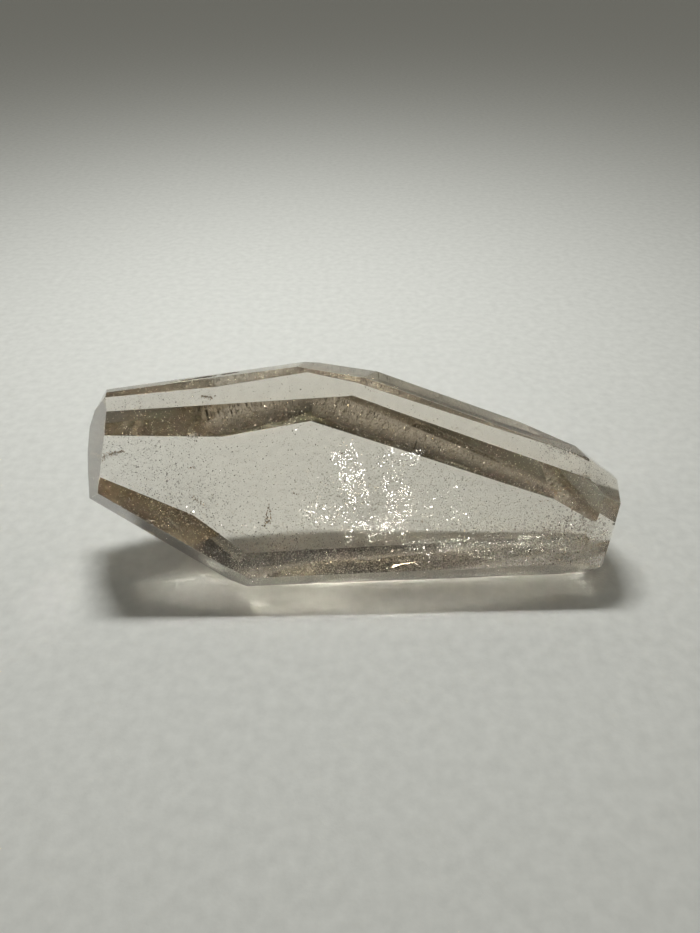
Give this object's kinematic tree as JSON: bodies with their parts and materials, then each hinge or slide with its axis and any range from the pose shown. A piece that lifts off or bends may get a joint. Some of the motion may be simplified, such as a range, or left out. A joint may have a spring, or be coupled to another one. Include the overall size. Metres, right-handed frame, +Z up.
{
  "type": "quartz scepter crystal",
  "caption": "Polished clear quartz scepter with flat facets, a wide head that narrows to a slimmer stem, lying on a long side face.",
  "frame": {"origin": "on the resting face, under the middle of the crystal", "axes": "+X along the crystal from the wide head to the narrow stem end, +Y away from the big front face, +Z up"},
  "size_m": [0.1025, 0.0334, 0.0408],
  "materials": {
    "clear_quartz": "polished clear quartz with a faint smoky straw cast, see-through, refractive index 1.544"
  },
  "bodies": {
    "root": {"quartz_scepter": "clear_quartz"}
  },
  "joints": []
}
